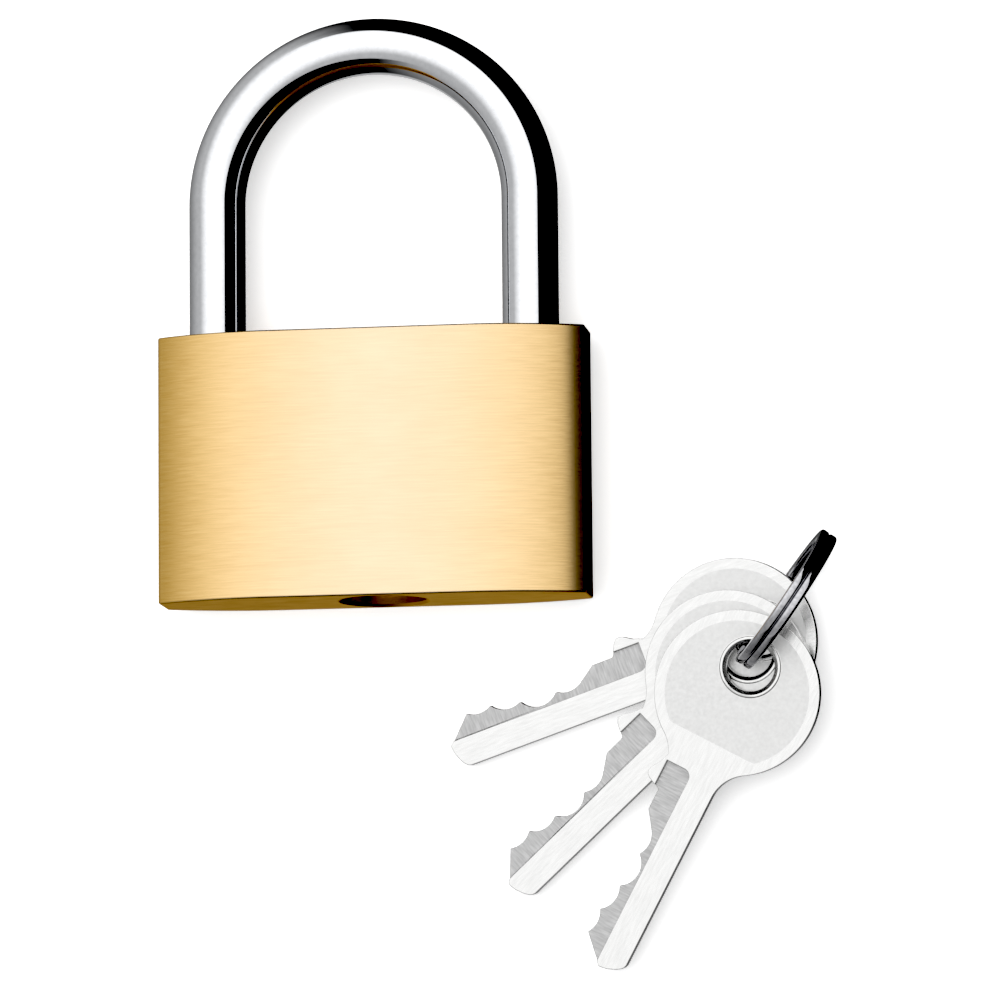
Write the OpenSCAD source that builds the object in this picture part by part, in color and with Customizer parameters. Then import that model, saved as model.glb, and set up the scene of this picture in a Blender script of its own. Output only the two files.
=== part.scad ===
// Brass pin-tumbler padlock with a round steel shackle, lying on its back with its
// keys on a split ring beside it.
// Millimetres. Origin: centre of the body's flat top face, midway between the shackle
// legs. +X to the right, +Y out through the shackle, +Z up from the front face.
// Shown closed with the plug turned to the open position: the bolts are drawn in.

/* [Body] */
// Width of the body across the two narrow sides
body_w = 50; // [48:0.5:56]
// Height of the body from the flat bottom to the flat top
body_h = 31.2; // [31:0.1:34]
// Thickness at the middle of the front and back faces
body_t = 11.8; // [11.4:0.1:14]
// Thickness of the flat narrow sides
side_t = 5.5; // [5:0.1:7]
// Width of the flat middle of the front and back faces
flat_w = 23.2; // [18:0.2:26]

/* [Shackle] */
// Diameter of the shackle rod
rod_d = 6.55; // [6:0.05:6.8]
// Distance between the centre lines of the two legs
leg_gap = 36.8; // [36:0.1:38]
// Straight length of the legs above the body
leg_rise = 15.7; // [12:0.1:40]
// How far the shackle lifts when it opens
lift = 9; // [8.5:0.1:10]
// Length of the short leg inside the body
toe_in = 8; // [7.6:0.1:8.2]
// Length of the long leg inside the body
heel_in = 21.2; // [20:0.1:22]

/* [Lock works] */
// Plug axis to the right of the middle of the body
plug_x = 1; // [0:0.1:1.5]
// Diameter of the bore that holds the plug
plug_bore = 10; // [9.6:0.1:10.2]
// How far the plug's face sits inside the bottom
plug_sink = 1.4; // [0.8:0.1:2]
// Depth of the locking bolts' axis below the top face
bolt_y = 3.6; // [3.5:0.1:3.8]
// Diameter of the bore for the locking bolts
bolt_bore = 4.4; // [4:0.1:4.6]
// How far each bolt moves
bolt_throw = 1.7; // [1.5:0.05:1.8]
// Depth that a bolt reaches into a leg when locked
bolt_bite = 1.5; // [1.3:0.05:1.6]
// Number of pin stacks
pins = 4; // [2:1:4]
// Distance between pin stacks
pin_pitch = 3.55; // [3.4:0.05:3.6]
// Distance from the plug's face to the first pin stack
pin_start = 6.1; // [5.8:0.1:6.2]
// Diameter of the pin chambers
pin_bore = 2.9; // [2.6:0.1:3]

/* [Keys] */
// Thickness of the key blank
key_t = 2.1; // [1.8:0.1:2.2]
// Radius of the round bow
bow_r = 9.5; // [9:0.1:10]
// Centre of the bow from the centre of the hole
bow_x = 3.35; // [3:0.05:3.6]
// Radius of the hole in the bow
hole_r = 2.8; // [2.6:0.02:2.9]
// Chamfer round both mouths of the hole in the bow
hole_chamfer = 0.4; // [0.3:0.05:0.5]
// Tip of the blade from the centre of the hole
tip_x = 38.4; // [38:0.1:39]
// Height of the back edge of the blade above the hole's centre line
back_y = 2.85; // [2.7:0.05:3]
// Height of the uncut bitted edge below the hole's centre line
edge_y = 3.1; // [2.9:0.05:3.2]
// Edge of the milled half of the blade below the hole's centre line
mill_y = 0.45; // [0.2:0.05:0.8]
// Depth of the milled half below the full thickness
mill_d = 0.65; // [0.4:0.05:0.8]
// Slope of the stacked keys down towards their tips, in degrees
key_tilt = 6.5; // [6:0.1:7]
// Distance from one stacked key to the next
key_pitch = 2.2; // [2.18:0.01:2.25]

/* [Split ring] */
// Outside radius of the split ring
ring_r = 9.05; // [8.95:0.05:9.2]
// Width of the ring's wire across the ring
ring_w = 1.45; // [1.4:0.05:1.6]
// Thickness of one of the two turns
turn_t = 1.03; // [0.9:0.01:1.05]
// Lean of the ring away from upright, in degrees
ring_lean = 12.5; // [12.3:0.1:13]

/* [Hidden] */

e = 0.01;
fine = 96;
small = 48;

// body: flat middle, then arcs that drop to the narrow sides
flat_x = flat_w / 2;
arc_run = body_w / 2 - flat_x;
arc_drop = (body_t - side_t) / 2;
arc_r = (arc_run * arc_run + arc_drop * arc_drop) / (2 * arc_drop);

// shackle
rod_r = rod_d / 2;
leg_x = leg_gap / 2;
leg_hole_r = rod_r + 0.075;
toe_hole_depth = toe_in + 0.6;
heel_hole_depth = body_h - 2.2;
notch_r = bolt_bore / 2 + 0.1;
notch_x = leg_x - rod_r + bolt_bite + 0.15;
toe_chamfer = 0.8;
stop_pin_y = 9.4;
stop_pin_r = 1.1;
flat_cut_x = leg_x + 2.4;
foot_top = stop_pin_y + stop_pin_r + 0.05 + lift;
foot_neck_r = 2.4;
foot_neck_len = 2.4;
heel_neck_r = rod_r - bolt_bite - 0.18;
lift_coil_r = 2.5;
lift_wire_r = 0.4;

// plug, seen from its face: depth runs along +Y from the face
plug_r = plug_bore / 2 - 0.05;
plug_face_y = -body_h + plug_sink;
plug_len = 21.8;
cam_t = 1.0;
cam_y = plug_face_y + plug_len + 0.05;
cam_r = plug_r - 0.15;
drive_r = 0.55;
drive_top = -bolt_y - 0.95;
well_r = bolt_throw + drive_r + 0.15;
groove_depth = 20.25;
groove_len = 1.4;
groove_r = 4.1;
plug_pin_r = 0.6;
plug_pin_x = plug_x + groove_r + 0.05 + plug_pin_r;
plug_pin_y = plug_face_y + groove_depth;
plug_pin_top = 2.9;
keyway_t = key_t + 0.2;

// bolts
bolt_r = bolt_bore / 2 - 0.05;
bolt_tip = leg_x - rod_r - 0.22;
bolt_chamfer = 0.6;
bolt_end = 3.3;
tongue_end = 1.9;
tongue_top = -bolt_y - 0.2;
groove_top = drive_top + 0.1;
slot_gap = 0.5;
bolt_spring_y = -bolt_y + 0.85;
bolt_spring_bore = 1.0;
spring_pocket = 5;
bolt_coil_r = 0.7;
bolt_wire_r = 0.2;

// pins: each cut of the key sets how long its key pin is
pin_r = pin_bore / 2 - 0.05;
cut_y = [1.2, 0.75, 1.75, 2.45];
blade_shift = 0.4;
shear = plug_r - 0.05;
pin_bottom = 0.6;
pin_point = 0.9;
driver_len = 5;
spring_len = 6.8;
pin_coil_r = 1.1;
pin_wire_r = 0.17;
chamber_in = plug_x - plug_bore / 2 + 2;
chamber_out = plug_x - plug_bore / 2 - 0.03;
spring_out = chamber_out - driver_len - 0.03;
cap_in = spring_out - spring_len - 0.03;

// keys: shape of the blank beyond its main sizes
fillet_r = 4.6;
shoulder_y = edge_y + 0.45;
stop_x = 17.2;
ramp_x = 19.8;
ramp_top = 1.85;
cut_r = 2.6;
mill_x = 13.8;

// keys: hole centres on the ring, and the directions of the blades
key_x = [44.45, 43.1, 43.5];
key_y = [-35.4, -38.15, -40.05];
key_turn = [198.9, 222.5, 241.5];
key_low = -3.1;
ring_centre = [47.85, -32.65];
ring_turn = 55.3;
ring_z = -body_t / 2 + ring_r * cos(ring_lean) + turn_t * sin(ring_lean) + 0.03;

module along_x(x0, x1, r, fn = small)
    translate([x0, 0, 0]) rotate([0, 90, 0]) cylinder(h = x1 - x0, r = r, $fn = fn);

module along_y(y0, y1, r, fn = small)
    translate([0, y0, 0]) rotate([-90, 0, 0]) cylinder(h = y1 - y0, r = r, $fn = fn);

// flat middle and two pairs of arcs, cut off at the narrow sides
module body_section() {
    intersection() {
        square([body_w, body_t], center = true);
        union() {
            square([flat_w, body_t], center = true);
            for (side = [-1, 1]) intersection() {
                translate([side * flat_x, body_t / 2 - arc_r]) circle(arc_r, $fn = 4 * fine);
                translate([side * flat_x, arc_r - body_t / 2]) circle(arc_r, $fn = 4 * fine);
            }
        }
    }
}

function pin_y(i) = plug_face_y + pin_start + i * pin_pitch;

module body() color([0.85, 0.68, 0.36]) difference() {
    rotate([90, 0, 0]) linear_extrude(body_h) body_section();
    // shackle holes
    translate([-leg_x, 0, 0]) along_y(-toe_hole_depth, 1, leg_hole_r, fine);
    translate([leg_x, 0, 0]) along_y(-heel_hole_depth, 1, leg_hole_r, fine);
    // cross bore for the bolts, drilled in from the right side
    translate([0, -bolt_y, 0]) along_x(-leg_x, body_w / 2 + 1, bolt_bore / 2, fine);
    // plug bore and the well for the cam's drive pins
    translate([plug_x, 0, 0]) along_y(-body_h - 1, cam_y + cam_t + 0.05, plug_bore / 2, fine);
    translate([plug_x, 0, 0]) along_y(cam_y, -bolt_y - 0.6, well_r, fine);
    // pin chambers, drilled in from the left side
    for (i = [0 : pins - 1])
        translate([0, pin_y(i), 0]) along_x(-body_w / 2 - 1, chamber_in, pin_bore / 2);
    // stop pin for the long leg, and the pin that holds the plug
    translate([0, -stop_pin_y, 0]) along_x(leg_x, body_w / 2 + 1, stop_pin_r);
    translate([plug_pin_x, plug_pin_y, -body_t / 2 - 1])
        cylinder(h = body_t / 2 + 1 + plug_pin_top + 0.1, r = plug_pin_r, $fn = small);
}

// flush plug that closes the mouth of the cross bore
module cross_bore_plug() color([0.85, 0.68, 0.36])
    translate([0, -bolt_y, 0]) along_x(leg_x + leg_hole_r + 0.3, body_w / 2, bolt_bore / 2 - e, fine);

module plug_retaining_pin() color([0.85, 0.68, 0.36])
    translate([plug_pin_x, plug_pin_y, -body_t / 2])
        cylinder(h = body_t / 2 + plug_pin_top, r = plug_pin_r - e, $fn = small);

// its inner end rides the flat on the long leg
module heel_retaining_pin() color([0.85, 0.68, 0.36])
    translate([0, -stop_pin_y, 0]) along_x(flat_cut_x + 0.1, body_w / 2, stop_pin_r - e);

module shackle() color([0.82, 0.83, 0.85]) {
    // bow and straight legs above the body
    translate([0, leg_rise, 0]) rotate_extrude(angle = 180, $fn = 2 * fine)
        translate([leg_x, 0]) circle(rod_r, $fn = fine);
    difference() {
        union() {
            translate([-leg_x, 0, 0]) along_y(-toe_in + toe_chamfer, leg_rise, rod_r, fine);
            translate([-leg_x, -toe_in, 0]) rotate([-90, 0, 0])
                cylinder(h = toe_chamfer, r1 = rod_r - toe_chamfer, r2 = rod_r, $fn = fine);
            translate([leg_x, 0, 0]) along_y(-heel_in, leg_rise, rod_r, fine);
        }
        // bolt notches on the inner sides of both legs
        for (side = [-1, 1]) translate([side * (notch_x - rod_d), -bolt_y, 0])
            cube([2 * rod_d, 2 * notch_r, 2 * rod_d], center = true);
        // neck that faces the bolt while the shackle is open
        heel_neck();
        // flat for the stop pin, and the turned groove above the foot
        translate([flat_cut_x, -foot_top, -rod_d])
            cube([rod_d, foot_top - stop_pin_y + stop_pin_r + 0.2, 2 * rod_d]);
        foot_groove();
    }
}

module ring_cut(y0, y1, r) difference() {
    translate([leg_x, 0, 0]) along_y(y0, y1, rod_r + 1, fine);
    translate([leg_x, 0, 0]) along_y(y0 - 1, y1 + 1, r, fine);
}

module heel_neck() ring_cut(-bolt_y - lift - notch_r, -bolt_y - lift + notch_r, heel_neck_r);

module foot_groove() ring_cut(-foot_top, -foot_top + foot_neck_len, foot_neck_r);

// round wire wound round the Z axis, from z = 0 up to z = len
module coil(len, mean_r, wire_r, turns, steps = 10, sides = 6) {
    count = turns * steps;
    rise = (len - 2 * wire_r) / count;
    function ring_point(k, s) = let (a = 360 * k / steps, b = 360 * s / sides)
        [(mean_r + wire_r * cos(b)) * cos(a), (mean_r + wire_r * cos(b)) * sin(a),
            wire_r + rise * k + wire_r * sin(b)];
    points = [for (k = [0 : count]) for (s = [0 : sides - 1]) ring_point(k, s)];
    walls = [for (k = [0 : count - 1]) for (s = [0 : sides - 1])
        let (near = k * sides, next = (s + 1) % sides, far = near + sides)
        each [[near + s, far + s, far + next], [near + s, far + next, near + next]]];
    ends = [[for (s = [0 : sides - 1]) s], [for (s = [sides - 1 : -1 : 0]) count * sides + s]];
    polyhedron(points, concat(walls, ends), convexity = 8);
}

module shackle_spring() color([0.6, 0.62, 0.65])
    translate([leg_x, -heel_hole_depth + 0.02, 0]) rotate([-90, 0, 0])
        coil(heel_hole_depth - heel_in - 0.05, lift_coil_r, lift_wire_r, 6);

// half of the bolt's end reaches past the plug's axis and hooks over a drive pin
module bolt_blank(side) {
    tip = bolt_tip - side * plug_x;
    translate([0, -bolt_y, 0]) {
        along_x(bolt_end, tip - bolt_chamfer, bolt_r, fine);
        translate([tip - bolt_chamfer, 0, 0]) rotate([0, 90, 0])
            cylinder(h = bolt_chamfer, r1 = bolt_r, r2 = bolt_r - bolt_chamfer, $fn = fine);
    }
    intersection() {
        translate([0, -bolt_y, 0]) along_x(-tongue_end, bolt_end + e, bolt_r, fine);
        translate([-tongue_end - 1, tongue_top - 4, 0.05]) cube([bolt_end + tongue_end + 1.1, 4, 4]);
    }
}

module bolt(side) difference() {
    bolt_blank(side);
    translate([-drive_r - 0.05, groove_top - 4, -0.5]) cube([2 * drive_r + slot_gap, 4, 5]);
    translate([0, bolt_spring_y, 0]) along_x(bolt_end - 1, bolt_end + spring_pocket, bolt_spring_bore);
}

module heel_bolt() color([0.62, 0.64, 0.66]) translate([plug_x, 0, 0]) bolt(1);

module toe_bolt() color([0.62, 0.64, 0.66]) translate([plug_x, 0, 0]) rotate([0, 180, 0]) bolt(-1);

module bolt_spring() color([0.6, 0.62, 0.65])
    translate([plug_x - bolt_end - spring_pocket + 0.03, bolt_spring_y, 0]) rotate([0, 90, 0])
        coil(2 * (bolt_end + spring_pocket) - 0.06, bolt_coil_r, bolt_wire_r, 12, 8);

// Everything that turns is drawn locked, with its pins towards -X, and then turned
module turned() translate([plug_x, 0, 0]) rotate([0, -90, 0]) children();

module plug() color([0.88, 0.72, 0.42]) turned() difference() {
    along_y(plug_face_y, plug_face_y + plug_len, plug_r, fine);
    // keyway with the step of the milled blade
    translate([-edge_y - 0.15 + blade_shift, plug_face_y - 1, -keyway_t / 2])
        cube([edge_y - mill_y + 0.3, plug_len + 2, keyway_t - mill_d]);
    translate([-mill_y + blade_shift, plug_face_y - 1, -keyway_t / 2])
        cube([mill_y + back_y + 0.15, plug_len + 2, keyway_t]);
    for (i = [0 : pins - 1])
        translate([0, pin_y(i), 0]) along_x(-plug_r - 1, pin_bottom, pin_bore / 2);
    translate([0, plug_pin_y, 0]) difference() {
        along_y(-groove_len / 2, groove_len / 2, plug_r + 1, fine);
        along_y(-groove_len, groove_len, groove_r, fine);
    }
}

// disc on the end of the plug with the two pins that draw the bolts in
module cam() color([0.62, 0.64, 0.66]) turned() {
    along_y(cam_y, cam_y + cam_t, cam_r, fine);
    for (side = [-1, 1]) translate([side * bolt_throw, 0, 0]) along_y(cam_y, drive_top, drive_r);
}

// pointed pin that stands on the key, with its outer end turned to the plug's radius
module key_pin(i) color([0.86, 0.7, 0.4]) turned() intersection() {
    translate([0, pin_y(i), 0]) {
        along_x(-plug_r - 1, blade_shift - cut_y[i] - pin_point, pin_r);
        translate([blade_shift - cut_y[i] - pin_point - e, 0, 0]) rotate([0, 90, 0])
            cylinder(h = pin_point, r1 = pin_r, r2 = pin_r - pin_point + 0.1, $fn = small);
    }
    along_y(plug_face_y, plug_face_y + plug_len, shear, fine);
}

module driver_pin(i) color([0.86, 0.7, 0.4])
    translate([0, pin_y(i), 0]) along_x(chamber_out - driver_len, chamber_out, pin_r);

module pin_spring(i) color([0.6, 0.62, 0.65])
    translate([spring_out - spring_len, pin_y(i), 0]) rotate([0, 90, 0])
        coil(spring_len, pin_coil_r, pin_wire_r, 8);

module chamber_plug(i) color([0.85, 0.68, 0.36])
    translate([0, pin_y(i), 0]) along_x(-body_w / 2, cap_in, pin_bore / 2 - e);

// two turns of flat wire pressed together
module split_ring() color([0.45, 0.45, 0.47])
    translate([ring_centre[0], ring_centre[1], ring_z]) rotate([0, 0, ring_turn])
        rotate([90 + ring_lean, 0, 0]) rotate_extrude($fn = 2 * fine)
            translate([ring_r - ring_w, 0]) ring_section();

module ring_section() {
    round_r = 0.3;
    for (side = [0, 1]) translate([0, side * turn_t - turn_t]) {
        translate([round_r, 0]) square([ring_w - 2 * round_r, turn_t + (1 - side) * e]);
        translate([0, round_r]) square([ring_w, turn_t - 2 * round_r]);
        for (x = [round_r, ring_w - round_r]) for (y = [round_r, turn_t - round_r])
            translate([x, y]) circle(round_r, $fn = 24);
    }
}

function arc(x, y, r, from, to, n = 16) =
    [for (k = [0 : n]) let (a = from + (to - from) * k / n) [x + r * cos(a), y + r * sin(a)]];

// centre and angle of the fillet between the bow and a blade edge that is `edge` off the centre line
function fillet_x(edge) = bow_x + sqrt(pow(bow_r + fillet_r, 2) - pow(edge + fillet_r, 2));
function fillet_a(edge) = asin((edge + fillet_r) / (bow_r + fillet_r));

// bow, lower shoulder, uncut edge, 45 degree tip, back edge, upper shoulder
key_outline = concat(
    arc(bow_x, 0, bow_r, fillet_a(back_y), 360 - fillet_a(shoulder_y), 64),
    arc(fillet_x(shoulder_y), -shoulder_y - fillet_r, fillet_r, 180 - fillet_a(shoulder_y), 90),
    [[stop_x - 0.4, -edge_y], [tip_x - edge_y, -edge_y], [tip_x, 0], [tip_x - 0.1, 0.9],
        [tip_x - 0.6, 2.1], [tip_x - 1.1, 2.7], [tip_x - 1.5, back_y]],
    arc(fillet_x(back_y), back_y + fillet_r, fillet_r, 270, 180 + fillet_a(back_y)));

// small stop on the cut side where the blade meets the shoulder
module stop_nib() translate([stop_x, -edge_y])
    polygon([[-4.8, 0.5], [-4.8, -0.3], [-3.6, -0.8], [-1.9, -1.9], [-1.1, -1.95],
        [-0.6, -1.4], [0, -0.1], [0, 0.5]]);

module key_blank() difference() {
    union() {
        polygon(key_outline);
        stop_nib();
    }
    circle(hole_r, $fn = fine);
    // ramp, then a round cut for each pin
    polygon([[ramp_x, -edge_y - 1], [ramp_x, -edge_y], [ramp_x + 1.8, -ramp_top],
        [ramp_x + 3, -ramp_top], [ramp_x + 3, -edge_y - 1]]);
    for (i = [0 : pins - 1])
        translate([stop_x + pin_start + i * pin_pitch, -cut_y[i] - cut_r]) circle(cut_r, $fn = small);
}

// local frame: hole at the origin, blade along +X, cuts towards -Y
module key() difference() {
    translate([0, 0, -key_t / 2]) linear_extrude(key_t) key_blank();
    for (face = [0, 1]) mirror([0, 0, face]) translate([0, 0, key_t / 2 - hole_chamfer])
        cylinder(h = 2 * hole_chamfer, r1 = hole_r, r2 = hole_r + 2 * hole_chamfer, $fn = fine);
    translate([mill_x, -edge_y - 0.55, key_t / 2 - mill_d]) cube([tip_x, edge_y + 0.55 - mill_y, 2 * mill_d]);
}

module placed_key(i) color([0.9, 0.9, 0.9])
    translate([key_x[i], key_y[i], stack_z(i)]) rotate([key_tilt, 0, 0]) rotate([0, 0, key_turn[i]]) key();

// height of a hole's centre: the stack's planes all slope the same way
function stack_z(i) = key_low + i * key_pitch / cos(key_tilt) + (key_y[i] - key_y[0]) * tan(key_tilt);

body();
cross_bore_plug();
plug_retaining_pin();
heel_retaining_pin();
shackle();
shackle_spring();
heel_bolt();
toe_bolt();
bolt_spring();
plug();
cam();
key_pin(0);  // key_pin_1
key_pin(1);  // key_pin_2
key_pin(2);  // key_pin_3
key_pin(3);  // key_pin_4
driver_pin(0);  // driver_pin_1
driver_pin(1);  // driver_pin_2
driver_pin(2);  // driver_pin_3
driver_pin(3);  // driver_pin_4
pin_spring(0);  // pin_spring_1
pin_spring(1);  // pin_spring_2
pin_spring(2);  // pin_spring_3
pin_spring(3);  // pin_spring_4
chamber_plug(0);  // chamber_plug_1
chamber_plug(1);  // chamber_plug_2
chamber_plug(2);  // chamber_plug_3
chamber_plug(3);  // chamber_plug_4
split_ring();
placed_key(0);  // key_1
placed_key(1);  // key_2
placed_key(2);  // key_3
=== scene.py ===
"""Looks of the brass padlock with its three keys on a split ring.

Metres, in the part's own frame: origin at the centre of the body's flat top face, +X to the right,
+Y out through the shackle, +Z up from the front face. The lock lies on its back.
"""
import math
import bpy
from mathutils import Matrix, Vector


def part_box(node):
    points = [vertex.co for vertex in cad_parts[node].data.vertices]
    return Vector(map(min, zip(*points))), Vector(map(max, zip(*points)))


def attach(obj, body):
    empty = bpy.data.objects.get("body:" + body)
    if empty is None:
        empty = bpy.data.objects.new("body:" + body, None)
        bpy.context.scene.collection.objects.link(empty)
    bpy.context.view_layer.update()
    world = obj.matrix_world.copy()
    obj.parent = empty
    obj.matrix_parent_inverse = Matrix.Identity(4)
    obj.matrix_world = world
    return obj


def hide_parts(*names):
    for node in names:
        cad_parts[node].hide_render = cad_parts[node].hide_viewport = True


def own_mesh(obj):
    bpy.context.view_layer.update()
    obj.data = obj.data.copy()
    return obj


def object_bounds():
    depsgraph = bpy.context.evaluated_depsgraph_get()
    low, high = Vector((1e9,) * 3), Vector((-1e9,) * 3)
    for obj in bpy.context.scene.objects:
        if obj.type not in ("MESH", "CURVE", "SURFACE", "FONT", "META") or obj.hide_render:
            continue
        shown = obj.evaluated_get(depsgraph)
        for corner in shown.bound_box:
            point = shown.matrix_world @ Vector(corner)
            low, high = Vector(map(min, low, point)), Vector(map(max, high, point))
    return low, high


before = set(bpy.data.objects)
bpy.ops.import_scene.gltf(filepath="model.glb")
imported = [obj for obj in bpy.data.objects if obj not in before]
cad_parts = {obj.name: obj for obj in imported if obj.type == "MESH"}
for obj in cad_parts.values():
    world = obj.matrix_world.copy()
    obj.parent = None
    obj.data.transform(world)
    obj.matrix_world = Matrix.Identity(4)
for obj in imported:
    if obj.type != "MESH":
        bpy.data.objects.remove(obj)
cad_low, cad_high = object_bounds()
scene = bpy.context.scene

MM = 0.001
X = Vector((1, 0, 0))
Y = Vector((0, 1, 0))
Z = Vector((0, 0, 1))


# ---------------------------------------------------------------- sizes
def centre(name):
    low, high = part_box(name)
    return (low + high) / 2


def extent(name):
    low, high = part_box(name)
    return high - low


body_w, body_h, body_t = extent("body")
side_t = 5.5 * MM
flat_x = 11.6 * MM
arc_run = body_w / 2 - flat_x
arc_drop = (body_t - side_t) / 2
arc_r = (arc_run ** 2 + arc_drop ** 2) / (2 * arc_drop)

rod_r = extent("shackle").z / 2
leg_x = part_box("shackle")[1].x - rod_r
leg_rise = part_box("shackle")[1].y - rod_r - leg_x
heel_in = -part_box("shackle")[0].y
toe_in = 8 * MM
lift = 9 * MM
leg_hole_r = rod_r + 0.075 * MM

plug_x = centre("plug").x
plug_bore_r = extent("plug").x / 2 + 0.05 * MM
cam_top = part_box("cam")[1].y
bolt_y = centre("cross_bore_plug").y
bolt_bore_r = extent("cross_bore_plug").y / 2 + 0.01 * MM
stop_pin_y = centre("heel_retaining_pin").y
stop_pin_r = extent("heel_retaining_pin").y / 2 + 0.01 * MM
pin_bore_r = extent("chamber_plug_1").y / 2 + 0.01 * MM

key_t = 2.1 * MM
bow_r = 9.5 * MM
bow_x = 3.35 * MM
hole_r = 2.8 * MM
hole_chamfer = 0.4 * MM
tip_x = 38.4 * MM
back_y = 2.85 * MM
edge_y = 3.1 * MM
shoulder_y = edge_y + 0.45 * MM
fillet_r = 4.6 * MM
cut_r = 2.6 * MM
cut_tops = [1.2 * MM, 0.75 * MM, 1.75 * MM, 2.45 * MM]
first_cut_x = 23.3 * MM
pin_pitch = 3.55 * MM
mill_x = 13.8 * MM
mill_y = 0.45 * MM
mill_d = 0.65 * MM
key_tilt = math.radians(6.5)
key_pitch = 2.2 * MM
key_low = -3.1 * MM
key_holes = [(44.45 * MM, -35.4 * MM), (43.1 * MM, -38.15 * MM), (43.5 * MM, -40.05 * MM)]
key_turns = [math.radians(198.9), math.radians(222.5), math.radians(241.5)]

ring_r = 9.05 * MM
ring_w = 1.45 * MM
turn_t = 1.03 * MM
ring_lean = math.radians(12.5)
ring_turn = math.radians(55.3)
ring_x = 47.85 * MM
ring_y = -32.65 * MM


# ---------------------------------------------------------------- materials
def add(tree, kind, inputs=None, **settings):
    """A shader node: `inputs` holds plain values, or sockets to link from."""
    made = tree.nodes.new(kind)
    for key, value in settings.items():
        setattr(made, key, value)
    for key, value in (inputs or {}).items():
        if isinstance(value, bpy.types.NodeSocket):
            tree.links.new(value, made.inputs[key])
        else:
            made.inputs[key].default_value = value
    return made


def place_on(tree, own=False):
    """Where a point lies: in the lock's frame, or for a key along and across the key itself."""
    if own:
        return add(tree, "ShaderNodeAttribute", attribute_name="along_key").outputs["Vector"]
    return add(tree, "ShaderNodeTexCoord").outputs["Object"]


def noise(tree, per_mm, detail=3, rough=0.55, own=False):
    """Noise stretched along the axes: `per_mm` is the features in a millimetre along X, Y and Z."""
    place = place_on(tree, own)
    per_metre = [n / MM for n in per_mm]
    scaled = add(tree, "ShaderNodeVectorMath", {0: place, 1: per_metre}, operation="MULTIPLY")
    made = add(tree, "ShaderNodeTexNoise",
               {"Vector": scaled.outputs[0], "Scale": 1.0, "Detail": detail, "Roughness": rough})
    return made.outputs["Fac"]


def remap(tree, value, low, high, to_low, to_high):
    made = add(tree, "ShaderNodeMapRange", {"Value": value, "From Min": low, "From Max": high,
                                            "To Min": to_low, "To Max": to_high})
    return made.outputs["Result"]


def blend_colors(tree, factor, first, second):
    made = add(tree, "ShaderNodeMix", {0: factor, 6: first, 7: second}, data_type="RGBA")
    return made.outputs[2]


def rgba(color, share=1.0):
    return (color[0] * share, color[1] * share, color[2] * share, 1.0)


def painted_highlight_falloff(tree, middle=2.0, reach=26.0):
    """Mask of the painted highlight: 0 along a line `middle` millimetres right of the lock's centre, up to 1
    at `reach` from it.
    """
    along_x = add(tree, "ShaderNodeSeparateXYZ", {0: place_on(tree)}).outputs["X"]
    off = add(tree, "ShaderNodeMath", {0: along_x, 1: middle * MM}, operation="SUBTRACT").outputs[0]
    size = add(tree, "ShaderNodeMath", {0: off}, operation="ABSOLUTE").outputs[0]
    share = add(tree, "ShaderNodeMath", {0: size, 1: reach * MM}, operation="DIVIDE").outputs[0]
    return add(tree, "ShaderNodeMath", {0: share, 1: 1.5}, operation="POWER").outputs[0]


def metal(name, color, deep, grain, rough, bump=0.25, step=0.004, patches=0.06, scratches=0.0,
          spread=0.0, around=None, own=False, middle=None, rim=None):
    """Metal whose grain varies its colour, its roughness and its height.

    `color` and `deep` are the tops and the bottoms of the grain, `grain` its features per millimetre,
    `rough` the lowest and highest roughness, `step` the grain's height in millimetres, `patches` the
    share by which broad clouds darken it, and `spread` how far highlights smear across the grain.
    `own` ties the grain to a key's own length. `middle` is a paler colour painted as a highlight in a band
    down the middle, and `rim` tints what the metal mirrors at a grazing angle.
    """
    made = bpy.data.materials.new(name)
    made.use_nodes = True
    tree = made.node_tree
    shader = tree.nodes["Principled BSDF"]
    shader.inputs["Metallic"].default_value = 1.0
    lines = noise(tree, grain, detail=4, rough=0.6, own=own)
    clouds = noise(tree, (0.12, 0.16, 0.16), detail=2, own=own)
    tone = blend_colors(tree, remap(tree, lines, 0.32, 0.68, 0, 1), rgba(deep), rgba(color))
    # Painted highlight: the paler middle colour is blended in most strongly down the middle of the face.
    if middle:
        tone = blend_colors(tree, painted_highlight_falloff(tree), blend_colors(tree, 0.8, tone, rgba(middle)), tone)
    shade = remap(tree, clouds, 0.3, 0.7, 0, patches)
    tone = blend_colors(tree, shade, tone, rgba(deep, 0.75))
    rough_now = remap(tree, lines, 0.3, 0.7, rough[1], rough[0])
    if scratches:
        marks = noise(tree, (0.5, 4.5, 2.2), detail=2, rough=0.4, own=own)
        marks = remap(tree, marks, 0.66, 0.72, 0, scratches)
        tone = blend_colors(tree, marks, tone, rgba(deep, 0.8))
        rough_now = add(tree, "ShaderNodeMath", {0: rough_now, 1: marks}, operation="ADD").outputs[0]
    tree.links.new(tone, shader.inputs["Base Color"])
    tree.links.new(rough_now, shader.inputs["Roughness"])
    if rim:
        shader.inputs["Specular Tint"].default_value = rgba(rim)
    height = add(tree, "ShaderNodeBump", {"Strength": bump, "Distance": step * MM, "Height": lines})
    tree.links.new(height.outputs[0], shader.inputs["Normal"])
    if spread:
        shader.inputs["Anisotropic"].default_value = spread
        shader.inputs["Anisotropic Rotation"].default_value = 0.25
        tangent = add(tree, "ShaderNodeTangent", direction_type="RADIAL", axis=around)
        tree.links.new(tangent.outputs[0], shader.inputs["Tangent"])
    return made


brass = (0.78, 0.52, 0.19)
brass_deep = (0.70, 0.44, 0.13)
# Paler brass for the painted highlight down the middle of the front face.
brass_painted_highlight = (0.86, 0.72, 0.55)
chrome = (0.84, 0.85, 0.87)
chrome_deep = (0.77, 0.78, 0.80)
nickel = (0.77, 0.77, 0.765)
nickel_deep = (0.72, 0.72, 0.715)
steel_deep = (0.36, 0.37, 0.39)

# The front's paler middle band is a painted highlight.
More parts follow.
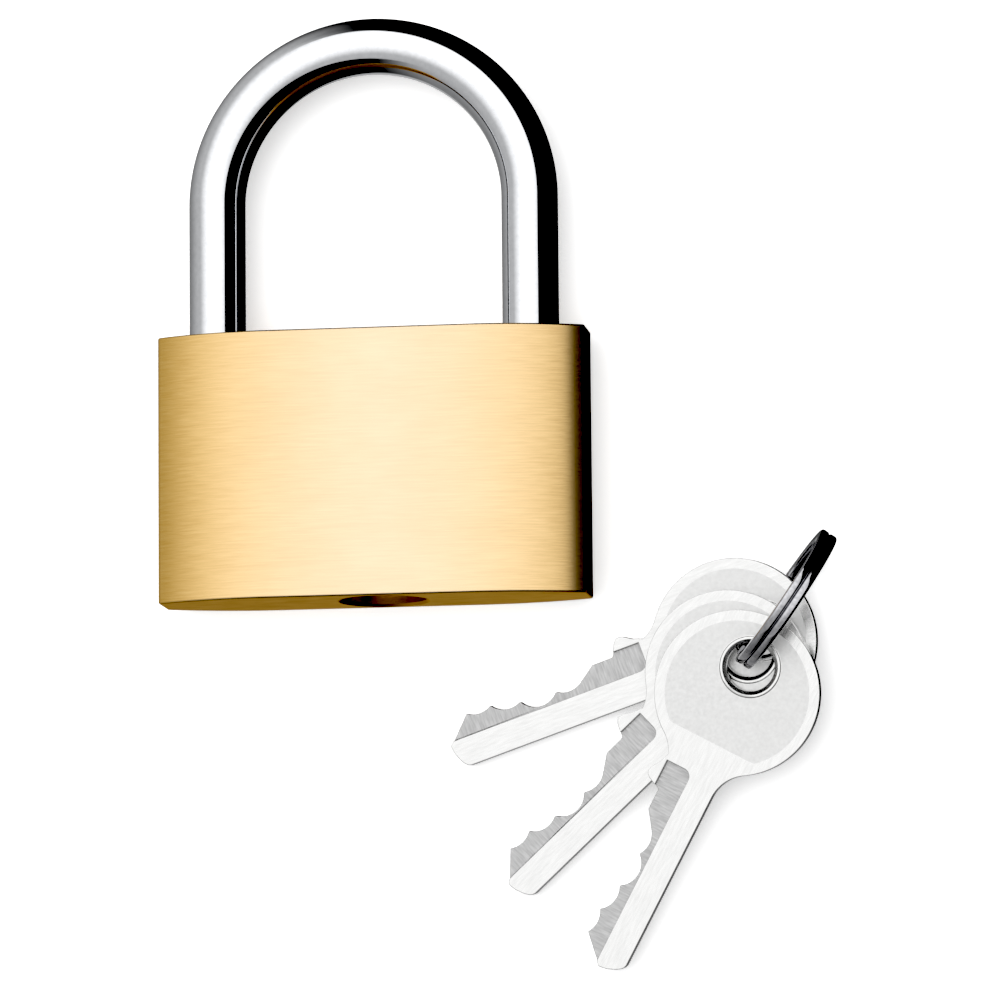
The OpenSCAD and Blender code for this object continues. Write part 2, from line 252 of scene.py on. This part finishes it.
brushed_brass = metal("brushed_brass", brass, brass_deep, (0.22, 6.0, 0.8), (0.19, 0.25),
                      bump=0.35, step=0.003, patches=0.08, spread=0.75, around="Y", middle=brass_painted_highlight)
milled_brass = metal("milled_brass", (0.84, 0.46, 0.13), (0.70, 0.35, 0.08), (0.35, 3.0, 5.0), (0.3, 0.42),
                     bump=0.4, step=0.004, patches=0.15, rim=(1.0, 0.86, 0.42))
bored_brass = metal("bored_brass", (0.60, 0.38, 0.18), (0.36, 0.20, 0.08), (1.2, 5.0, 1.2), (0.25, 0.4),
                    bump=0.5, step=0.006, patches=0.25)
turned_brass = metal("turned_brass", (0.76, 0.53, 0.24), (0.56, 0.36, 0.13), (3.0, 0.6, 3.0), (0.22, 0.36),
                     bump=0.4, step=0.004, patches=0.15)
polished_chrome = metal("polished_chrome", chrome, chrome_deep, (1.6, 1.6, 1.6), (0.06, 0.09),
                        bump=0.04, step=0.001, patches=0.05, scratches=0.03)
ring_chrome = metal("ring_chrome", (0.62, 0.62, 0.64), (0.44, 0.44, 0.46), (2.0, 2.0, 2.0), (0.04, 0.08),
                    bump=0.08, step=0.002, patches=0.15, scratches=0.05)
satin_nickel = metal("satin_nickel", nickel, nickel_deep, (0.5, 3.2, 3.2), (0.18, 0.26),
                     bump=0.12, step=0.002, patches=0.06, scratches=0.04, own=True)
stamped_nickel = metal("stamped_nickel", nickel_deep, (0.68, 0.68, 0.675), (2.4, 2.4, 2.4), (0.30, 0.38),
                       bump=0.16, step=0.003, patches=0.06, scratches=0.03, own=True)
milled_nickel = metal("milled_nickel", (0.62, 0.62, 0.62), (0.48, 0.48, 0.48), (5.0, 0.5, 5.0), (0.36, 0.5),
                      bump=0.35, step=0.004, patches=0.10, own=True)
ground_steel = metal("ground_steel", (0.56, 0.57, 0.59), steel_deep, (5.0, 1.0, 1.0), (0.25, 0.4),
                     bump=0.4, patches=0.2)
spring_wire = metal("spring_wire", (0.60, 0.61, 0.63), steel_deep, (2.0, 2.0, 2.0), (0.2, 0.32),
                    patches=0.2)


# ---------------------------------------------------------------- mesh tools
def mesh_object(name, points, faces):
    mesh = bpy.data.meshes.new(name)
    mesh.from_pydata([tuple(p) for p in points], [], faces)
    made = bpy.data.objects.new(name, mesh)
    scene.collection.objects.link(made)
    return made


def tube_faces(rings, steps):
    """Quads between rings of `steps` points each, and a cap on each end."""
    faces = []
    for ring in range(rings - 1):
        near = ring * steps
        far = near + steps
        for k in range(steps):
            turn = (k + 1) % steps
            faces.append((near + k, near + turn, far + turn, far + k))
    faces.append(tuple(range(steps - 1, -1, -1)))
    faces.append(tuple(range((rings - 1) * steps, rings * steps)))
    return faces


def lathe(name, base, axis, profile, steps=64):
    """A turned piece. `profile` lists (distance along the axis, radius) from one end to the other."""
    side = axis.orthogonal().normalized()
    other = axis.cross(side)
    points = []
    for along, radius in profile:
        for k in range(steps):
            a = math.tau * k / steps
            points.append(base + axis * along + side * radius * math.cos(a) + other * radius * math.sin(a))
    return mesh_object(name, points, tube_faces(len(profile), steps))


def block(name, low, high):
    points = [(x, y, z) for z in (low[2], high[2]) for x, y in
              ((low[0], low[1]), (high[0], low[1]), (high[0], high[1]), (low[0], high[1]))]
    return mesh_object(name, points, tube_faces(2, 4))


def plate(name, outline, low, high):
    """An outline in the XY plane, given anticlockwise, between two heights."""
    points = [(x, y, z) for z in (low, high) for x, y in outline]
    return mesh_object(name, points, tube_faces(2, len(outline)))


def applied(piece):
    """Turns the piece's modifiers into its mesh."""
    graph = bpy.context.evaluated_depsgraph_get()
    mesh = bpy.data.meshes.new_from_object(piece.evaluated_get(graph))
    piece.modifiers.clear()
    piece.data = mesh
    return piece


def cut(piece, *cutters):
    for cutter in cutters:
        change = piece.modifiers.new("cut", "BOOLEAN")
        change.operation = "DIFFERENCE"
        change.solver = "EXACT"
        change.object = cutter
        applied(piece)
        bpy.data.objects.remove(cutter)
    return piece


def rounded(piece, width, segments=3, over=40):
    """Rounds the edges sharper than `over` degrees."""
    edges = piece.modifiers.new("edges", "BEVEL")
    edges.width = width
    edges.segments = segments
    edges.limit_method = "ANGLE"
    edges.angle_limit = math.radians(over)
    edges.use_clamp_overlap = False
    return applied(piece)


def smooth(piece, over=32):
    """Smooth shading that keeps flat faces flat, with creases over `over` degrees."""
    piece.data.shade_smooth()
    piece.data.set_sharp_from_angle(angle=math.radians(over))
    weights = piece.modifiers.new("normals", "WEIGHTED_NORMAL")
    weights.keep_sharp = True
    weights.weight = 80
    return piece


def hand_in(piece, node, body, slot, *materials):
    """The piece stands for a CAD node, rides on its body and takes its finish."""
    for material in materials:
        piece.data.materials.append(material)
    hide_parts(node)
    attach(piece, body)
    return piece


# ---------------------------------------------------------------- lock body
def face_height(x):
    """Height of the front face above the middle plane."""
    past = max(0.0, abs(x) - flat_x)
    return body_t / 2 - arc_r + math.sqrt(arc_r ** 2 - past ** 2)


def body_block(steps=30):
    span = math.asin(arc_run / arc_r)
    front = []
    for k in range(steps + 1):
        x = flat_x + arc_r * math.sin(span * (1 - k / steps))
        front.append((x, face_height(x)))
    front += [(-x, z) for x, z in reversed(front)]
    outline = front + [(x, -z) for x, z in reversed(front)]
    points = [(x, y, z) for y in (0, -body_h) for x, z in outline]
    return mesh_object("padlock_body", points, tube_faces(2, len(outline)))


def mouth(name, x, y, axis, radius, depth, flare=0.3 * MM, steps=96):
    """Cutter for a bore with a flared mouth at (x, y), open towards -axis."""
    profile = [(-MM, radius + flare + MM), (flare, radius), (depth, radius)]
    return lathe(name, Vector((x, y, 0)), axis, profile, steps)


def bore(name, base, axis, length, radius, steps=64):
    return lathe(name, base, axis, [(0, radius), (length, radius)], steps)


def make_body():
    edge_r = 0.25 * MM
    body = rounded(body_block(), edge_r, segments=4, over=50)
    right = body_w / 2 + MM
    cut(body,
        mouth("toe_hole", -leg_x, 0, -Y, leg_hole_r, toe_in + 0.6 * MM),
        mouth("heel_hole", leg_x, 0, -Y, leg_hole_r, body_h - 2.2 * MM),
        mouth("plug_hole", plug_x, -body_h, Y, plug_bore_r, cam_top + body_h),
        bore("bolt_hole", Vector((-leg_x, bolt_y, 0)), X, leg_x + right, bolt_bore_r),
        bore("stop_hole", Vector((leg_x, stop_pin_y, 0)), X, right - leg_x, stop_pin_r, 48))
    chamber_in = right + plug_x - 3 * MM
    for i in range(1, 5):
        y = centre(f"chamber_plug_{i}").y
        cut(body, bore("chamber", Vector((-right, y, 0)), X, chamber_in, pin_bore_r, 48))
    pin = centre("plug_retaining_pin")
    pin_size = extent("plug_retaining_pin")
    pin_low = pin - Z * (pin_size.z / 2 + MM)
    cut(body, bore("pin_hole", pin_low, Z, pin_size.z + MM, pin_size.x / 2 + 0.01 * MM, 32))
    rounded(body, 0.05 * MM, segments=1, over=60)
    skin = edge_r + 0.01 * MM
    for face in body.data.polygons:
        middle = face.center
        outside = abs(abs(middle.z) - face_height(middle.x)) < 0.12 * MM
        at_end = middle.y > -skin or middle.y < skin - body_h
        at_side = abs(middle.x) > body_w / 2 - skin
        if outside and abs(face.normal.z) > 0.5:
            face.material_index = 0
        elif at_end or at_side:
            face.material_index = 1
        else:
            face.material_index = 2
    smooth(body)
    indices = [face.material_index for face in body.data.polygons]
    hand_in(body, "body", "lock_body", "body_brass", brushed_brass, milled_brass, bored_brass)
    body.data.polygons.foreach_set("material_index", indices)
    return body


def rod_profile(length, radius, chamfer):
    """Profile for lathe() of a plain rod, chamfered at both ends."""
    return [(0, radius - chamfer), (chamfer, radius), (length - chamfer, radius), (length, radius - chamfer)]


def flush_plug(node, axis, chamfer=0.07 * MM):
    """A plug or pin whose outer end, towards `axis`, lies flush with the body."""
    size = extent(node)
    length = abs(size.dot(axis))
    radius = (sum(size) - length) / 4
    base = centre(node) - axis * length / 2
    piece = smooth(lathe(node + "_turned", base, axis, rod_profile(length, radius, chamfer), 72), over=30)
    return hand_in(piece, node, "lock_body", "body_brass", milled_brass)


make_body()
flush_plug("cross_bore_plug", X)
flush_plug("heel_retaining_pin", X)
flush_plug("plug_retaining_pin", -Z)
for number in range(1, 5):
    flush_plug(f"chamber_plug_{number}", -X)


# ---------------------------------------------------------------- shackle
def rod_stations(steps=96):
    """(centre, outward direction, radius) along the rod, from the toe over the bow to the heel."""
    chamfer = 0.8 * MM
    neck_r = rod_r - 1.68 * MM
    foot_r = 2.4 * MM
    neck_y = bolt_y - lift
    neck = 2.3 * MM
    foot_y = stop_pin_y - stop_pin_r - lift
    foot = 2.4 * MM
    heel_end = 0.4 * MM
    made = []
    for y, radius in ((-toe_in, rod_r - chamfer), (chamfer - toe_in, rod_r)):
        made.append((Vector((-leg_x, y, 0)), -X, radius))
    for k in range(steps + 1):
        a = math.pi * (1 - k / steps)
        out = X * math.cos(a) + Y * math.sin(a)
        made.append((out * leg_x + Y * leg_rise, out, rod_r))
    heel = [(neck_y + neck, rod_r), (neck_y + neck, neck_r),
            (neck_y - neck, neck_r), (neck_y - neck, rod_r),
            (foot_y + foot, rod_r), (foot_y + foot, foot_r), (foot_y, foot_r), (foot_y, rod_r),
            (heel_end - heel_in, rod_r), (-heel_in, rod_r - heel_end)]
    for y, radius in heel:
        made.append((Vector((leg_x, y, 0)), X, radius))
    return made


def make_shackle(around=80):
    """The flat for the stop pin is cut last, so that its ends stay square like a milled flat."""
    stations = rod_stations()
    points = []
    for middle, out, radius in stations:
        for k in range(around):
            a = math.tau * k / around
            points.append(middle + out * radius * math.cos(a) + Z * radius * math.sin(a))
    rod = mesh_object("shackle_rod", points, tube_faces(len(stations), around))
    notch = bolt_bore_r + 0.1 * MM
    notch_x = leg_x - rod_r + 1.65 * MM
    past = rod_r + MM
    flat_x0 = leg_x + 2.4 * MM
    flat_low = stop_pin_y - stop_pin_r - lift
    flat_high = stop_pin_y + stop_pin_r
    cut(rod,
        block("toe_notch", (-notch_x, bolt_y - notch, -past), (0, bolt_y + notch, past)),
        block("heel_notch", (0, bolt_y - notch, -past), (notch_x, bolt_y + notch, past)))
    rounded(rod, 0.12 * MM, segments=2, over=35)
    cut(rod, block("flat", (flat_x0, flat_low, -past), (leg_x + 2 * rod_r, flat_high, past)))
    smooth(rod, over=35)
    return hand_in(rod, "shackle", "shackle", "shackle_chrome", polished_chrome)


make_shackle()


# ---------------------------------------------------------------- keys
def arc(x, y, r, start, end, steps):
    """Points on an arc, angles in degrees."""
    angles = [math.radians(start + (end - start) * k / steps) for k in range(steps + 1)]
    return [(x + r * math.cos(a), y + r * math.sin(a)) for a in angles]


def fillet(edge):
    """Centre and angle of the fillet between the bow and a blade edge `edge` off the centre line."""
    reach = bow_r + fillet_r
    off = edge + fillet_r
    return bow_x + math.sqrt(reach ** 2 - off ** 2), math.degrees(math.asin(off / reach))


def cut_edge(x):
    """Lowest point of the blade at x: the uncut edge, the ramp, a round cut or the 45 degree tip."""
    heights = [-edge_y, x - tip_x]
    ramp = 19.8 * MM
    if ramp < x < first_cut_x:
        heights.append(min(-1.85 * MM, -edge_y + (x - ramp) * 0.72))
    for i, top in enumerate(cut_tops):
        off = x - first_cut_x - i * pin_pitch
        if abs(off) < cut_r:
            heights.append(math.sqrt(cut_r ** 2 - off ** 2) - cut_r - top)
    return max(heights)


def key_outline():
    """Bow, lower shoulder with its stop, cut edge, tip and back edge, anticlockwise."""
    upper_x, upper_a = fillet(back_y)
    lower_x, lower_a = fillet(shoulder_y)
    outline = arc(bow_x, 0, bow_r, upper_a, 360 - lower_a, 120)
    outline += arc(lower_x, -shoulder_y - fillet_r, fillet_r, 180 - lower_a, 112, 12)[1:]
    stop = [(14.3, -4.3), (15.3, -4.93), (15.75, -5.05), (16.15, -4.97), (16.5, -4.6), (17.15, -3.3)]
    outline += [(x * MM, y * MM) for x, y in stop]
    stop_x = 17.3 * MM
    step = 0.1 * MM
    count = int((tip_x - stop_x) / step)
    outline += [(stop_x + k * step, cut_edge(stop_x + k * step)) for k in range(count)]
    tip = [(0, -0.1), (0.02, 0.35), (0.12, 0.95), (0.55, 2.0), (0.85, 2.45), (1.15, 2.72), (1.5, 2.85)]
    outline += [(tip_x - x * MM, y * MM) for x, y in tip]
    outline += arc(upper_x, back_y + fillet_r, fillet_r, 270, 180 + upper_a, 16)[:-1]
    return outline


def recess(name, side, depth=0.12 * MM, steps=120):
    """Cutter for the sunk face of the bow: steep round the rim, a long slope towards the blade."""
    points = []
    layers = ((-depth, 8.3 * MM, 9.7 * MM), (0, 8.6 * MM, 11.0 * MM), (MM, 8.6 * MM, 11.0 * MM))
    for height, radius, chord in layers:
        z = side * (key_t / 2 + height)
        for k in range(steps):
            a = math.tau * k / steps
            reach = radius
            if math.cos(a) > 0:
                reach = min(radius, (chord - bow_x) / math.cos(a))
            points.append((bow_x + reach * math.cos(a), side * reach * math.sin(a), z))
    return mesh_object(name, points, tube_faces(len(layers), steps))


def key_mesh():
    key = plate("key", key_outline(), -key_t / 2, key_t / 2)
    for side in (1, -1):
        collar = bore("collar", Vector((0, 0, side * MM)) - Z * MM, Z, 2 * MM, 3.5 * MM, 80)
        cut(key, cut(recess("recess", side), collar))
    reach = key_t / 2 + MM
    flare = hole_r + hole_chamfer + MM
    straight = key_t / 2 - hole_chamfer
    hole = [(-reach, flare), (-straight, hole_r), (straight, hole_r), (reach, flare)]
    cut(key, lathe("hole", Vector((0, 0, 0)), Z, hole, 80))
    low = -edge_y - 0.55 * MM
    corner = arc(mill_x + MM, -mill_y - MM, MM, 90, 180, 8)
    groove = [(mill_x, low), (tip_x + MM, low), (tip_x + MM, -mill_y)] + corner
    cut(key, plate("groove", groove, key_t / 2 - mill_d, key_t))
    rounded(key, 0.11 * MM, segments=2, over=50)
    smooth(key, over=28)
    applied(key)
    mesh = key.data
    bpy.data.objects.remove(key)
    for material in (satin_nickel, stamped_nickel, milled_nickel):
        mesh.materials.append(material)
    for face in mesh.polygons:
        z = face.center.z
        sunk = key_t / 2 - 0.15 * MM < abs(z) < key_t / 2 - 0.1 * MM and abs(face.normal.z) > 0.99
        milled = abs(z - (key_t / 2 - mill_d)) < 0.05 * MM and face.normal.z > 0.9
        face.material_index = 2 if milled else 1 if sunk else 0
    along = mesh.attributes.new("along_key", "FLOAT_VECTOR", "POINT")
    for place, vertex in zip(along.data, mesh.vertices):
        place.vector = vertex.co
    return mesh


def make_keys():
    mesh = key_mesh()
    slope = Matrix.Rotation(key_tilt, 4, "X")
    for i, (x, y) in enumerate(key_holes):
        z = key_low + i * key_pitch / math.cos(key_tilt) + (y - key_holes[0][1]) * math.tan(key_tilt)
        key = bpy.data.objects.new(f"key_{i + 1}_cut", mesh.copy())
        key.data.transform(Matrix.Translation((x, y, z)) @ slope @ Matrix.Rotation(key_turns[i], 4, "Z"))
        scene.collection.objects.link(key)
        hand_in(key, f"key_{i + 1}", f"key_{i + 1}", "key_nickel")


make_keys()


# ---------------------------------------------------------------- split ring
def wire_section(width, thick, corner, steps=5):
    """Rounded rectangle of flat wire: (across, along the ring's axis)."""
    made = []
    for x, y, start in ((1, 1, 0), (-1, 1, 90), (-1, -1, 180), (1, -1, 270)):
        made += arc(x * (width / 2 - corner), y * (thick / 2 - corner), corner, start, start + 90, steps)
    return made


def make_ring():
    """One flat wire wound twice: it steps from the first turn to the second beside its two ends."""
    crossing = math.radians(26)
    start = math.radians(205)
    section = wire_section(ring_w, turn_t * 0.99, 0.33 * MM)
    length = 2 * math.tau - crossing
    steps = 330
    points = []
    for k in range(steps + 1):
        a = length * k / steps
        share = min(1.0, max(0.0, (a - math.tau + crossing) / crossing))
        level = turn_t * (share * share * (3 - 2 * share) - 0.5)
        out = X * math.cos(start + a) + Y * math.sin(start + a)
        for across, along in section:
            points.append(out * (ring_r - ring_w / 2 + across) + Z * (level + along))
    ring = mesh_object("split_ring_wire", points, tube_faces(steps + 1, len(section)))
    high = -body_t / 2 + ring_r * math.cos(ring_lean) + turn_t * math.sin(ring_lean) + 0.03 * MM
    lean = Matrix.Rotation(math.pi / 2 + ring_lean, 4, "X")
    turn = Matrix.Rotation(ring_turn, 4, "Z")
    ring.data.transform(Matrix.Translation((ring_x, ring_y, high)) @ turn @ lean)
    rounded(ring, 0.08 * MM, segments=2, over=60)
    smooth(ring, over=40)
    return hand_in(ring, "split_ring", "split_ring", "ring_chrome", ring_chrome)


make_ring()


# ---------------------------------------------------------------- lock works
def coil(node, axis, wire_r, turns, around=10, steps=28):
    """A round-wire spring that fills the CAD node's box."""
    size = extent(node)
    length = abs(size.dot(axis))
    mean_r = (sum(size) - length) / 4 - wire_r
    base = centre(node) - axis * length / 2
    side = axis.orthogonal().normalized()
    other = axis.cross(side)
    count = turns * steps
    points = []
    for k in range(count + 1):
        a = math.tau * k / steps
        out = side * math.cos(a) + other * math.sin(a)
        middle = base + axis * (wire_r + (length - 2 * wire_r) * k / count) + out * mean_r
        for s in range(around):
            b = math.tau * s / around
            points.append(middle + out * wire_r * math.cos(b) - axis * wire_r * math.sin(b))
    spring = smooth(mesh_object(node + "_wire", points, tube_faces(count + 1, around)), over=60)
    return hand_in(spring, node, "lock_body", "spring_steel", spring_wire)


coil("shackle_spring", Y, 0.4 * MM, 6)
coil("bolt_spring", X, 0.2 * MM, 12)
for number in range(1, 5):
    spring = coil(f"pin_spring_{number}", X, 0.17 * MM, 8)
    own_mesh(spring)

for number in range(1, 5):
    pin = f"driver_pin_{number}"
    length = extent(pin).x
    profile = rod_profile(length, extent(pin).y / 2, 0.2 * MM)
    piece = smooth(lathe(pin + "_turned", centre(pin) - X * length / 2, X, profile, 48), over=30)
    hand_in(piece, pin, pin, "pin_brass", turned_brass)

kept = {"plug": turned_brass, "cam": ground_steel, "heel_bolt": ground_steel, "toe_bolt": ground_steel}
for number in range(1, 5):
    kept[f"key_pin_{number}"] = turned_brass
for name, material in kept.items():
    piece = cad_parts[name]
    piece.data.materials.clear()
    piece.data.materials.append(material)
    joined = piece.modifiers.new("joined", "WELD")
    joined.merge_threshold = 0.002 * MM
    edges = piece.modifiers.new("edges", "BEVEL")
    edges.width = 0.06 * MM
    edges.segments = 2
    edges.limit_method = "ANGLE"
    edges.angle_limit = math.radians(45)
    smooth(piece)


# ---------------------------------------------------------------- floor, light and camera
def make_floor():
    size = 3.0
    low = cad_low.z - 0.02 * MM
    corners = [(-size, -size, low), (size, -size, low), (size, size, low), (-size, size, low)]
    floor = mesh_object("floor", corners, [(0, 1, 2, 3)])
    made = bpy.data.materials.new("pale_floor")
    made.use_nodes = True
    tree = made.node_tree
    shader = tree.nodes["Principled BSDF"]
    shader.inputs["Specular IOR Level"].default_value = 0.1
    shader.inputs["Emission Color"].default_value = (1, 1, 1, 1)
    shader.inputs["Emission Strength"].default_value = 0.45
    shader.inputs["Roughness"].default_value = 0.9
    clouds = noise(tree, (0.004, 0.004, 0.004))
    tone = blend_colors(tree, clouds, (0.91, 0.91, 0.91, 1), (0.94, 0.94, 0.94, 1))
    tree.links.new(tone, shader.inputs["Base Color"])
    floor.data.materials.append(made)
    floor.visible_glossy = False


def toward(tree, look, x, y, z):
    """Cosine of the angle between a direction and (x, y, z)."""
    aim = tuple(Vector((x, y, z)).normalized())
    made = add(tree, "ShaderNodeVectorMath", {0: look, 1: aim}, operation="DOT_PRODUCT")
    return made.outputs["Value"]


def ramp(tree, value, low, high, start, end):
    """Like remap(), with soft ends."""
    made = add(tree, "ShaderNodeMapRange", {"Value": value, "From Min": low, "From Max": high,
                                            "To Min": start, "To Max": end})
    made.interpolation_type = "SMOOTHSTEP"
    return made.outputs["Result"]


def combine(tree, operation, first, second):
    return add(tree, "ShaderNodeMath", {0: first, 1: second}, operation=operation).outputs[0]


def make_world():
    """A large soft light overhead and down the left wall, a dark room to the right, a pale backdrop."""
    world = bpy.data.worlds.new("studio")
    scene.world = world
    world.use_nodes = True
    tree = world.node_tree
    tree.nodes.clear()
    look = add(tree, "ShaderNodeTexCoord").outputs["Generated"]
    lean = math.radians(19.5)
    edge = math.cos(math.radians(58.5))
    ceiling = toward(tree, look, -math.sin(lean), 0, math.cos(lean))
    overhead = ramp(tree, ceiling, edge - 0.02, edge + 0.02, 0, 1)
    left_wall = ramp(tree, toward(tree, look, -1, 0, 0), 0.15, 0.6, 0, 1)
    lit = combine(tree, "MAXIMUM", overhead, left_wall)
    lamp = toward(tree, look, -0.08, 0.36, 0.93)
    fade = ramp(tree, lamp, -0.7, 0.45, 0.26, 0.56)
    glow = ramp(tree, lamp, 0.45, 0.97, 0, 0.8)
    key = combine(tree, "MULTIPLY", lit, combine(tree, "ADD", fade, glow))
    bounce_edge = math.cos(math.radians(28))
    bounce_full = math.cos(math.radians(8))
    bounce = ramp(tree, toward(tree, look, -0.25, -0.2, -0.95), bounce_edge, bounce_full, 0, 0.5)
    light = combine(tree, "MAXIMUM", key, bounce)
    room = add(tree, "ShaderNodeBackground", {"Color": (1, 1, 1, 1), "Strength": light})
    backdrop = add(tree, "ShaderNodeBackground", {"Color": (0.97, 0.97, 0.97, 1), "Strength": 1.0})
    seen = add(tree, "ShaderNodeLightPath").outputs["Is Camera Ray"]
    mixed = add(tree, "ShaderNodeMixShader", {0: seen, 1: room.outputs[0], 2: backdrop.outputs[0]})
    add(tree, "ShaderNodeOutputWorld", {"Surface": mixed.outputs[0]})


def make_top_light():
    """Lights the floor from above without a hard reflection in the metal."""
    light = bpy.data.lights.new("top_light", "SUN")
    light.energy = 1.2
    light.angle = math.radians(50)
    lamp = bpy.data.objects.new("top_light", light)
    lamp.rotation_euler = (0, math.radians(-12), 0)
    lamp.visible_glossy = False
    scene.collection.objects.link(lamp)


def make_camera():
    """Nearly straight down, leaning a little to the right and towards the lock's bottom."""
    lean_right = math.radians(7.96)
    lean_down = math.radians(8.19)
    roll = math.radians(-0.53)
    distance = 0.806
    aim = Vector((14.6, -19.8, 0)) * MM
    back = Vector((math.sin(lean_right) * math.cos(lean_down), -math.sin(lean_down),
                   math.cos(lean_right) * math.cos(lean_down)))
    right = Y.cross(back).normalized()
    up = back.cross(right)
    turned_right = right * math.cos(roll) + up * math.sin(roll)
    turned_up = back.cross(turned_right)
    data = bpy.data.cameras.new("camera")
    data.lens = 251.4
    data.sensor_width = 36
    data.clip_start = 0.05
    data.clip_end = 20
    camera = bpy.data.objects.new("camera", data)
    place = Matrix((turned_right, turned_up, back)).transposed().to_4x4()
    place.translation = aim + back * distance
    camera.matrix_world = place
    scene.collection.objects.link(camera)
    scene.camera = camera


make_floor()
make_world()
make_top_light()
make_camera()
scene.view_settings.view_transform = "Standard"
scene.view_settings.use_curve_mapping = True
scene.view_settings.curve_mapping.black_level = (0.04, 0.04, 0.04)
scene.view_settings.curve_mapping.update()
